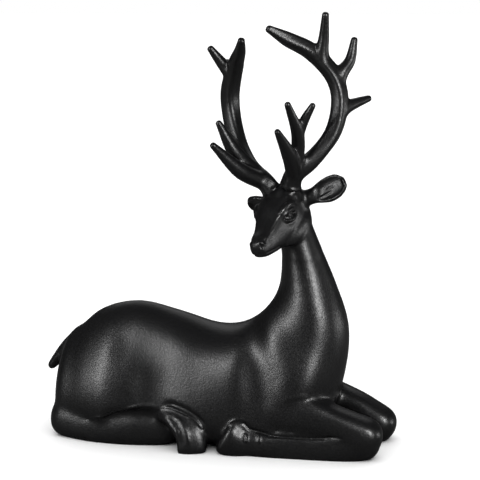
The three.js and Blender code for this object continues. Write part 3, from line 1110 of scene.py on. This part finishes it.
@dataclass
class AntlerSeat:
    """The round seat on the skull that an antler stands on, in the head's axes with out to the side."""

    side: Side
    radius: float = 7.9
    thickness: float = 2.4
    sunk: float = 3  # how deep the antler's foot sits in it
    stump_radius: float = 7.3
    stump_drop: float = 1.6  # how far under the seat the stump ends

    @property
    def top(self) -> Point:
        """Gives the middle of the seat."""
        return (4.2, 10, 5.5) if self.side is Side.LEFT else (4.6, 7.2, 2.8)

    @property
    def pedicle(self) -> Point:
        """Gives the next station of the antler over its seat."""
        return (2.4, 14, 11.8) if self.side is Side.LEFT else (3.2, 10.6, 9.4)

    def out(self) -> Array:
        """Gives the unit direction that the antler leaves the seat in."""
        return unit(np.array(self.pedicle) - np.array(self.top))

    def over(self, height: float) -> Point:
        """Gives the point at a height over the seat, on the seat's own side."""
        return on_side(np.array(self.top) + self.out() * height, self.side)

    def stump(self) -> bpy.types.Object:
        """Builds the swelling of the skull that carries the seat.

        Returns:
            The swelling.
        """
        r = self.stump_radius
        stations = [(*on_side((3.4, 5, -8), self.side), 8, 8), (*self.over(-self.stump_drop), r, r)]
        return head_form("stump", stations, across=ACROSS_ANTLER, caps=(2, 0.5), power=2.0)

    def disc(self) -> bpy.types.Object:
        """Builds the seat as a disc square to the antler's foot."""
        stations = [(*self.over(height), self.radius, self.radius) for height in (-self.thickness, 0)]
        return head_form("seat", stations, across=ACROSS_ANTLER, caps=(0, 0), power=2.0)


@dataclass
class Head:
    """Skull, brows, eyes, cheeks, nostrils and ears, in axes along the face, to the left and up."""

    length: float = 58
    eye: Point = (22.2, 9.4, -8.2)
    eye_radius: float = 4
    socket: Point = (22.6, 13.5, -7.8)
    socket_reach: float = 6
    socket_depth: float = 3.2
    temple: Point = (2, 14.5, -9)
    temple_reach: float = 9
    ears: tuple[Ear, Ear] = (
        Ear(Side.LEFT, reach=1.0, droop=-1.5, across=(-0.53, -0.25, 0.79), opening=(0.77, 0.26, 0.59)),
        Ear(Side.RIGHT, reach=0.86, droop=10, across=(0.25, 0, 1), opening=(0.97, 0, -0.24)),
    )

    def forms(self) -> list[bpy.types.Object]:
        """Builds the skull with its brows, cheeks, eyes and ears.

        Returns:
            The head's forms.
        """
        skull = [
            (-6, 0, -8.5, 9.5, 10.5),
            (4, 0, -9.5, 13, 15),
            (14, 0, -12.5, 13.8, 17),
            (24, 0, -14.2, 12.6, 15.7),
            (34, 0, -15.6, 9.8, 12.7),
            (43, 0, -15.8, 7.4, 10),
            (51, 0, -15, 6.4, 8),
            (self.length - 3, 0, -14.4, 5.8, 6.2),
        ]
        built = [head_form("skull", skull, caps=(6, 3), power=3.1, under=2.4, sides=72, rings=90)]
        for side in Side:
            Skin(built[0]).press(on_head(self.socket, side), self.socket_reach, -self.socket_depth)
        for side in Side:
            built += self.half(side)
        for ear in self.ears:
            built += ear.forms()
        return built

    def half(self, side: Side) -> list[bpy.types.Object]:
        """Builds the brow, eyelids, cheek, antler stump and eye of one side.

        Args:
            side: Side of the face.

        Returns:
            The side's forms.
        """
        s = side.value
        ridges = {
            "brow": [
                (31, 8.8 * s, -4.2, 1.2, 1.2),
                (26.4, 11 * s, -2, 1.9, 1.9),
                (20, 12.6 * s, -1.3, 2.1, 2),
                (14.6, 12.8 * s, -5, 1.8, 1.8),
                (12.6, 12.4 * s, -11.5, 1.2, 1.2),
            ],
            "upper_lid": [
                (29.8, 10 * s, -6.8, 0.9, 0.9),
                (26.8, 12.4 * s, -5, 1.2, 1.3),
                (22.3, 13.7 * s, -4.5, 1.3, 1.4),
                (18, 13.8 * s, -6.6, 1.2, 1.3),
                (15.6, 13 * s, -9.4, 0.9, 1),
            ],
            "lower_lid": [
                (29.8, 10 * s, -7.6, 0.8, 0.8),
                (26.4, 12 * s, -10.7, 1.1, 1.1),
                (21.6, 13 * s, -12.2, 1.2, 1.2),
                (17.6, 13.2 * s, -11.4, 1.1, 1.1),
                (15.4, 12.6 * s, -9.2, 0.8, 0.8),
            ],
        }
        cheek = [
            (1, 7.8 * s, -17.5, 5.8, 9),
            (8, 9.2 * s, -23.5, 6.1, 9.5),
            (18, 7.8 * s, -24.5, 6.1, 9.2),
            (29, 4.8 * s, -22, 4.5, 7.4),
        ]
        r = self.eye_radius
        x, y, z = on_side(self.eye, side)
        eye = [(x - r * 0.3, y, z, r, r * 0.9), (x + r * 0.3, y, z, r, r * 0.9)]
        built = [head_form(name, ridge, caps=(1.5, 1.5), power=2.0) for name, ridge in ridges.items()]
        built.append(head_form("cheek", cheek, caps=(6, 5)))
        built.append(AntlerSeat(side).stump())
        built.append(head_form("eye", eye, caps=(r * 0.7, r * 0.7), power=2.0))
        return built

    def crisp(self, skin: Skin) -> Array:
        """Gives 1 round the eyes and the ears' rims, where the joins aren't smoothed away.

        Args:
            skin: Skin of the head.

        Returns:
            One weight for each vertex.
        """
        reaches = {(22, 13, -7): 9.0, (-5, 27, -8): 9.0, (-7, 37, -6.5): 11.0}
        return np.maximum.reduce(
            [skin.near(on_head(at, side), reach) for side in Side for at, reach in reaches.items()]
        )

    def temples(self, skin: Skin) -> Array:
        """Gives 1 where the ears grow out of the head."""
        roots = [on_head(self.temple, side) for side in Side]
        return np.maximum.reduce([skin.near(root, self.temple_reach) for root in roots])

    def folds(self, side: Side) -> list[Fold]:
        """Gives the mouth, the edge of the nose's flat and the nostril of one side, and the left ear's veins.

        Args:
            side: Side of the face.

        Returns:
            The folds, in the body's axes.
        """
        mouth = [(38, 6.4, -23), (46, 6, -21), (53, 5, -18.8), (57.6, 2.4, -17.4), (58, 0, -17)]
        nose = [(31, 10.2, -3), (35, 8.4, -5), (40.4, 6.9, -7.2), (46.7, 6.2, -8.9), (52, 5.4, -10.2)]
        nostril = [(55.4, 5.6, -13.2), (56, 4.6, -11.8), (56.6, 3.4, -11.4)]
        nostril_rim = [(54.6, 6.4, -14), (53.8, 6.4, -11.6), (54.6, 4.8, -9.8), (56.2, 3, -9.8)]
        lines = [
            Fold(mouth, 0.7, 0.6, 0.02),
            Fold(nose, 1.6, -0.5, 0.15),
            Fold(nostril, 1.1, 1.6, 0.3),
            Fold(nostril_rim, 0.9, -0.45, 0.3),
        ]
        if side is Side.LEFT:
            lines.append(Fold([(-1, 23, -10.4), (-2.6, 29, -8.6), (-4.4, 35, -7)], 0.9, -0.6, 0.3))
            lines.append(Fold([(-3.6, 28, -6.4), (-4.8, 32, -5), (-6, 36.5, -4)], 0.8, -0.4, 0.3))
        return [replace(line, path=[tuple(on_head(p, side)) for p in line.path]) for line in lines]


@dataclass
class BodyCasting:
    """The whole body, fused from its forms to one skin and then worked over."""

    name: str = "body_casting"
    voxel: float = 1.7
    fine_voxel: float = 0.62
    fine_from: float = 132  # height over which the skin is also drawn fine
    neck_cut: tuple[Point, Point] = ((60, 0, 142.6), (0, -0.342, 0.94))  # place and slope of the join
    neck_gap: float = 0.8  # from there to each skin's edge
    neck_reach: float = 4  # how far the join is smoothed
    neck_passes: int = 12
    head_passes: int = 34
    temple_passes: int = 320
    body_passes: int = 18
    last_passes: int = 2
    crisp_reach: float = 6  # how far from a fold the joins stay crisp
    soft_reach: float = 4  # how far a scored fold is softened
    narrow_width: float = 1.15  # a fold under this width counts as narrow
    split_reaches: tuple[float, float] = (3.6, 2.2)  # beside all folds, and again beside the narrow ones
    split_gain: float = 1.4  # raises the weights that a split is decided by
    slab: Point = (0.5, 0.3, 0.1)  # metres
    trunk: Trunk = field(default_factory=Trunk)
    head: Head = field(default_factory=Head)
    legs: list[HindLeg | Foreleg] = field(
        default_factory=lambda: [
            HindLeg(Side.RIGHT),
            HindLeg(Side.LEFT),
            Foreleg(Side.RIGHT, (109, -22.5, 15.4)),
            Foreleg(Side.LEFT, (113, 21, 12)),
        ]
    )

    def fuse(self) -> Skin:
        """Draws one skin round the body and a finer one round the head, and joins them across the neck.

        Returns:
            The fused skin.
        """
        trunk, head = self.trunk.forms(), self.head.forms()
        legs = [form for leg in self.legs for form in leg.forms()]
        upper = self.fine_head([copy_of(form) for form in [trunk[0], *head]])
        lower = joined(self.name, trunk + head + legs)
        apply_modifier(lower, "REMESH", mode="VOXEL", voxel_size=self.voxel * MM)
        self.blend(Skin(lower))
        return self.bridge(lower, upper)

    def fine_head(self, forms: list[bpy.types.Object]) -> bpy.types.Object:
        """Draws the finer skin round the head and the upper neck.

        Args:
            forms: Copies of the trunk and of the head's forms, which are used up.

        Returns:
            The smoothed skin.
        """
        upper = joined("fine_head", forms)
        trim(upper, (0, 0, self.fine_from), (0, 0, 1), above=True, fill=True)
        apply_modifier(upper, "REMESH", mode="VOXEL", voxel_size=self.fine_voxel * MM)
        skin = Skin(upper)
        skin.smooth(1 - self.head.crisp(skin), self.head_passes)
        skin.smooth(self.head.temples(skin), self.temple_passes)
        skin.smooth(1.0, self.last_passes)
        return upper

    def bridge(self, lower: bpy.types.Object, upper: bpy.types.Object) -> Skin:
        """Cuts both skins off at the neck and joins their edges.

        Args:
            lower: Skin of the body.
            upper: Skin of the head.

        Returns:
            The whole skin.
        """
        point, normal = self.neck_cut
        step = [self.neck_gap * n for n in normal]
        trim(upper, tuple(p + d for p, d in zip(point, step)), normal, above=True, fill=False)
        trim(lower, tuple(p - d for p, d in zip(point, step)), normal, above=False, fill=False)
        whole = joined(self.name, [lower, upper])
        bpy.ops.object.mode_set(mode="EDIT")
        bpy.ops.mesh.select_mode(type="EDGE")
        bpy.ops.mesh.select_all(action="DESELECT")
        bpy.ops.mesh.select_non_manifold()
        bpy.ops.mesh.bridge_edge_loops()
        bpy.ops.object.mode_set(mode="OBJECT")
        skin = Skin(whole)
        over = (skin.points() - np.array(point)) @ np.array(normal)
        skin.smooth(np.exp(-((over / self.neck_reach) ** 2)), self.neck_passes)
        return skin

    def ground(self) -> bpy.types.Object:
        """Builds the slab under the statue that cuts its soles flat.

        Returns:
            The slab, with its top on the ground.
        """
        deselect()
        bpy.ops.mesh.primitive_cube_add(size=1.0, location=(0, 0, -self.slab[2] / 2))
        bpy.ops.transform.resize(value=self.slab)
        bpy.ops.object.transform_apply(location=True, rotation=True, scale=True)
        return bpy.context.object

    def folds(self) -> list[Fold]:
        """Gives every fold of the trunk and the legs."""
        both = [fold.on(side) for side in Side for fold in self.trunk.folds()]
        return both + [fold.on(leg.side) for leg in self.legs for fold in leg.folds()]

    def blend(self, skin: Skin) -> None:
        """Smooths the joins between the forms, less by the folds, and splits the faces beside the folds.

        Args:
            skin: Skin of the body.
        """
        skin.smooth(1 - skin.beside(self.folds(), self.crisp_reach), self.body_passes)
        skin.smooth(1.0, self.last_passes)
        narrow = [fold for fold in self.folds() if fold.width < self.narrow_width]
        for folds, reach in zip((self.folds(), narrow), self.split_reaches):
            skin.refine(skin.beside(folds, reach) * self.split_gain)

    def carve(self, skin: Skin) -> None:
        """Scores the folds of the body and the face.

        Args:
            skin: The whole skin.
        """
        for fold in self.folds() + [fold for side in Side for fold in self.head.folds(side)]:
            skin.score(fold)
        skin.smooth(skin.beside(self.folds(), self.soft_reach), self.last_passes)

    def build(self, paint: BlackIronPaint) -> bpy.types.Object:
        """Builds and dresses the casting.

        Args:
            paint: Finish of the casting.

        Returns:
            The finished piece.
        """
        skin = self.fuse()
        self.carve(skin)
        cut(skin.obj, self.ground())
        return finish_casting(skin, paint, "stag_body")


# Antlers


@dataclass
class Antler:
    """An antler: a fluted beam on its seat, with tines that grow out of it."""

    side: Side
    beam: Stations
    tines: dict[str, Stations]
    foot_radius: float = 7.1
    pedicle_radius: float = 6.7
    voxel: float = 0.75
    passes: int = 34
    last_passes: int = 3
    coronet_reach: float = 9  # how far round the seat its edge stays crisp
    tip_reach: float = 14  # how far down a tine its tip stays unsmoothed

    def part(self, name: str, stations: Stations, **shape: object) -> bpy.types.Object:
        """Builds a round form from stations of along, out, up and radius."""
        placed = [(*on_side((a, b, c), self.side), r, r) for a, b, c, r in stations]
        return head_form(name, placed, across=ACROSS_ANTLER, power=1.9, **shape)

    def forms(self, seat: AntlerSeat) -> list[bpy.types.Object]:
        """Builds the beam, the seat under it and the tines.

        Args:
            seat: Where the antler stands.

        Returns:
            The antler's forms.
        """
        foot = np.array(seat.top) - seat.out() * seat.sunk
        stem = [(*foot, self.foot_radius), (*seat.pedicle, self.pedicle_radius), *self.beam]
        built = [
            self.part("beam", stem, caps=(0, 2.5), rings=160, flutes=4, flute_depth=0.085, flute_twist=0.3),
            seat.disc(),
        ]
        return built + [self.part(name, tine, caps=(1, 2), rings=60) for name, tine in self.tines.items()]

    def build(self, paint: BlackIronPaint) -> bpy.types.Object:
        """Builds and dresses the antler.

        Args:
            paint: Finish of the casting.

        Returns:
            The finished piece.
        """
        seat = AntlerSeat(self.side)
        node = f"{self.side.name.lower()}_antler"
        whole = joined(f"{node}_casting", self.forms(seat))
        apply_modifier(whole, "REMESH", mode="VOXEL", voxel_size=self.voxel * MM)
        skin = Skin(whole)
        tips = [on_head(tine[-1], self.side) for tine in [*self.tines.values(), self.beam]]
        crisp = [skin.near(HEAD_AXES.place(seat.over(0)), self.coronet_reach)]
        crisp += [skin.near(tip, self.tip_reach) for tip in tips]
        skin.smooth(1 - np.maximum.reduce(crisp), self.passes)
        skin.smooth(1.0, self.last_passes)
        return finish_casting(skin, paint, node)


def finish_casting(skin: Skin, paint: BlackIronPaint, node: str) -> bpy.types.Object:
    """Shades, paints and places a casting in the frame.

    Args:
        skin: The worked skin.
        paint: Its finish.
        node: The solid that it stands for.

    Returns:
        The finished piece.
    """
    skin.mark_edges(paint.edge_attribute, paint.edge_spread, paint.edge_gain)
    pick(skin.obj)
    bpy.ops.object.shade_smooth_by_angle(angle=math.radians(CREASE_DEGREES))
    skin.obj.data.materials.clear()
    skin.obj.data.materials.append(bpy.data.materials.get(paint.name) or paint.material())
    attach(skin.obj, "root")
    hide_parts(node)
    LOG.info("%s: %d faces, stands for %s", skin.obj.name, len(skin.obj.data.polygons), node)
    return skin.obj


LEFT_TINES = {
    "brow_tine": [(3, 14, 11, 5.8), (10, 20.5, 30, 5.4), (22, 26.3, 54.4, 2.3)],
    "bez_tine": [(1, 17, 17, 5.2), (-1, 25.5, 39, 4.8), (3, 29, 64.4, 2.3)],
    "bez_fork": [(-1, 25, 38, 4), (-6, 32, 48, 3.4), (-10.4, 38.8, 55.3, 2.2)],
    "tray_tine": [(-29, 41.4, 34.5, 5.2), (-37, 46.6, 38.4, 5), (-44, 51, 37.6, 3.9), (-53.5, 57, 35.6, 2.4)],
    "fork_tine": [(-40, 43.7, 54, 5.4), (-47.5, 47.4, 60.5, 5), (-55, 51.6, 64.6, 4.1), (-64, 55.4, 76, 2.4)],
    "crown_tine": [
        (-43.6, 37.6, 69, 5.4),
        (-46, 38.6, 78, 4.9),
        (-48.6, 41.6, 86, 4),
        (-52, 47.2, 101.7, 2.5),
    ],
}
LEFT_BEAM = [
    (-6, 23, 15.4, 6.4),
    (-14, 31.2, 20.4, 6.2),
    (-24.5, 39.5, 28.6, 6.1),
    (-36.5, 44.8, 45, 6),
    (-42.5, 43, 60, 6),
    (-45, 31, 80, 6),
    (-40, 20, 93.5, 5.3),
    (-34.5, 12.3, 105, 2.9),
]
RIGHT_TINES = {
    **LEFT_TINES,
    "brow_tine": [(3.4, 11.2, 8.6, 6), (14, 18.4, 24.5, 6), (24, 25.3, 51.5, 2.4)],
    "bez_tine": [(-1.5, 17, 13.2, 5.8), (4.4, 24, 34, 5.6), (4.5, 28, 58.5, 2.4)],
    "bez_fork": [(1, 25, 38, 4), (-3, 31, 46, 3.4), (-8, 36.5, 50, 2.2)],
    "fork_tine": [(-42, 42, 57, 5.2), (-52, 46, 66, 4), (-57, 45, 78, 2.3)],
    "crown_tine": [(-45, 37, 71, 5.6), (-45, 41.5, 82, 4.4), (-44, 45.6, 95, 2.6)],
}
RIGHT_BEAM = [
    (-6, 23, 15.4, 6.4),
    (-14, 31.2, 20.4, 6.4),
    (-24.5, 39.5, 28.6, 6.6),
    (-36.5, 44.3, 45, 6.6),
    (-42.5, 42.5, 60, 6.8),
    (-45, 30.5, 80, 5.8),
    (-40, 20, 91, 4.4),
    (-34.5, 12.5, 100, 2.7),
]


def main() -> None:
    """Builds the studio and the three castings."""
    logging.basicConfig(level=logging.INFO, format="%(name)s: %(message)s")
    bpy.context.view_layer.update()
    Studio().build()
    paint = BlackIronPaint()
    BodyCasting().build(paint)
    Antler(Side.LEFT, LEFT_BEAM, LEFT_TINES).build(paint)
    Antler(Side.RIGHT, RIGHT_BEAM, RIGHT_TINES).build(paint)


if __name__ == "__main__":
    main()
